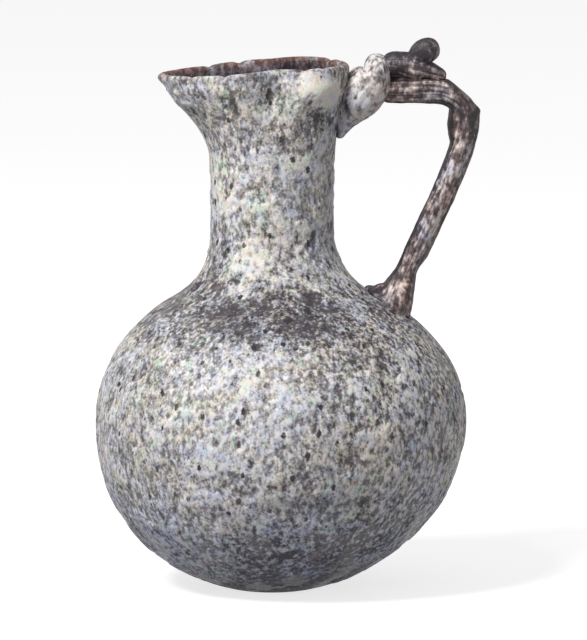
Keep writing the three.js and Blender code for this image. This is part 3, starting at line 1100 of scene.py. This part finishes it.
def press_pocket(bm):
    for vert in bm.verts:
        vert.co.y += POCKET_DEPTH * hump((vert.co - POCKET_CENTRE).length, 0, POCKET_SIZE)
    bm.normal_update()


tail_line = centre_line((
    ((TAB_X + 1, RUN_HEIGHT + 6), (TAB_X + 6, RUN_HEIGHT + 6),
     (TAB_X + 12, RUN_HEIGHT + 4.5), (TAB_X + 17, RUN_HEIGHT + 3)),
), LINE_STEPS)
thumb_skin = melted(copy_solid("thumb_rest"), voxel=0.24, rounds=3)
press_pocket(thumb_skin)
draw_streaks(thumb_skin, tail_line, depth=0.22, swell=0.36)
# painted shade in the pocket, and a painted highlight on the knob
THUMB_SHADE_AND_HIGHLIGHT_ZONES = (
    (tuple(POCKET_CENTRE), 3.2, -0.4),
    ((TAB_X + 13, -3, RUN_HEIGHT + 9.5), 3.4, 0.18),
)
thumb_glass = handle_glass("thumb_glass", THUMB_SHADE_AND_HIGHLIGHT_ZONES)
thumb_rest = finish_piece("thumb_rest_knob", thumb_skin, thumb_glass)
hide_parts("thumb_rest")

# %% [markdown]
# ## Floor
# The jug stands on a pale floor that runs on to a pale world of the same tone. More lamps would
# make it white, but bleach the jug as well. So the floor glows, and only for the camera and in
# reflections. To the jug's underside it gives back less light, and the bowl stays dark.

# %% Floor
PAPER = tint(247, 246, 247)
SEEN_FLOOR_GLOW = 0.79
FLOOR_SIZE = 14


def seen_rays(shader):
    """1 for rays from the camera, in reflections and through glass, 0 for scattered light."""
    seen = shader.node("ShaderNodeLightPath", output="Is Camera Ray")
    glossy = shader.node("ShaderNodeLightPath", output="Is Glossy Ray")
    through = shader.node("ShaderNodeLightPath", output="Is Transmission Ray")
    settings = {"operation": "ADD", "use_clamp": True}
    return shader.node("ShaderNodeMath", settings, {0: seen + glossy, 1: through})


def floor_material():
    shader = Shader(bpy.data.materials.new("pale_floor"))
    grey = shader.node("ShaderNodeBsdfDiffuse", inputs={"Color": tint(150, 150, 152)})
    glow = shader.node("ShaderNodeEmission", inputs={"Color": PAPER, "Strength": SEEN_FLOOR_GLOW})
    lit = shader.node("ShaderNodeBsdfDiffuse", inputs={"Color": tint(208, 208, 208)})
    paper = shader.node("ShaderNodeAddShader", inputs={0: glow, 1: lit})
    surface = shader.node("ShaderNodeMixShader", inputs={0: seen_rays(shader), 1: grey, 2: paper})
    shader.node("ShaderNodeOutputMaterial", inputs={"Surface": surface})
    return shader.owner


floor_bm = bmesh.new()
bmesh.ops.create_grid(floor_bm, x_segments=1, y_segments=1, size=FLOOR_SIZE / 2)
floor_mesh = bpy.data.meshes.new("floor")
floor_bm.to_mesh(floor_mesh)
floor_bm.free()
floor_mesh.materials.append(floor_material())
floor = bpy.data.objects.new("floor", floor_mesh)
bpy.context.collection.objects.link(floor)
print("floor, m:", FLOOR_SIZE)

# %% [markdown]
# ## World
# The world uses the same trick: full white where it is seen, and a weak ambient light for all
# that is lit by it, so that the lamps can model the jug.

# %% World
AMBIENT = 0.3
world = bpy.data.worlds.new("pale_world")
bpy.context.scene.world = world
sky = Shader(world)
strength = AMBIENT + seen_rays(sky) * (1 - AMBIENT)
background = sky.node("ShaderNodeBackground", inputs={"Color": PAPER, "Strength": strength})
sky.node("ShaderNodeOutputWorld", inputs={"Surface": background})
print("ambient light:", AMBIENT)

# %% [markdown]
# ## Lamps
# The photograph is lit from high on the left and in front, with the right side in soft shade.
# A sun lamp would give hard shadows. An area lamp has a size, so its shadows soften as they
# would from a studio lamp. A weak fill from the right keeps that side readable.

# %% Lamps
def area_lamp(name, azimuth, elevation, distance, size, watts):
    """A soft lamp that looks at the jug. Azimuth 0 is the camera's side, more goes to the right."""
    turn, rise = math.radians(azimuth), math.radians(elevation)
    towards = Vector((math.sin(turn) * math.cos(rise), -math.cos(turn) * math.cos(rise), math.sin(rise)))
    data = bpy.data.lights.new(name, "AREA")
    data.shape = "DISK"
    data.size = size
    data.energy = watts
    lamp = bpy.data.objects.new(name, data)
    lamp.location = AIM + towards * distance
    lamp.rotation_euler = (-towards).to_track_quat("-Z", "Y").to_euler()
    bpy.context.collection.objects.link(lamp)


area_lamp("key", azimuth=-42, elevation=46, distance=1.1, size=0.35, watts=11)
area_lamp("fill", azimuth=30, elevation=15, distance=1.4, size=0.9, watts=1.2)
bpy.context.scene.view_settings.view_transform = "Standard"
print("lamps:", [item.name for item in bpy.data.lights])
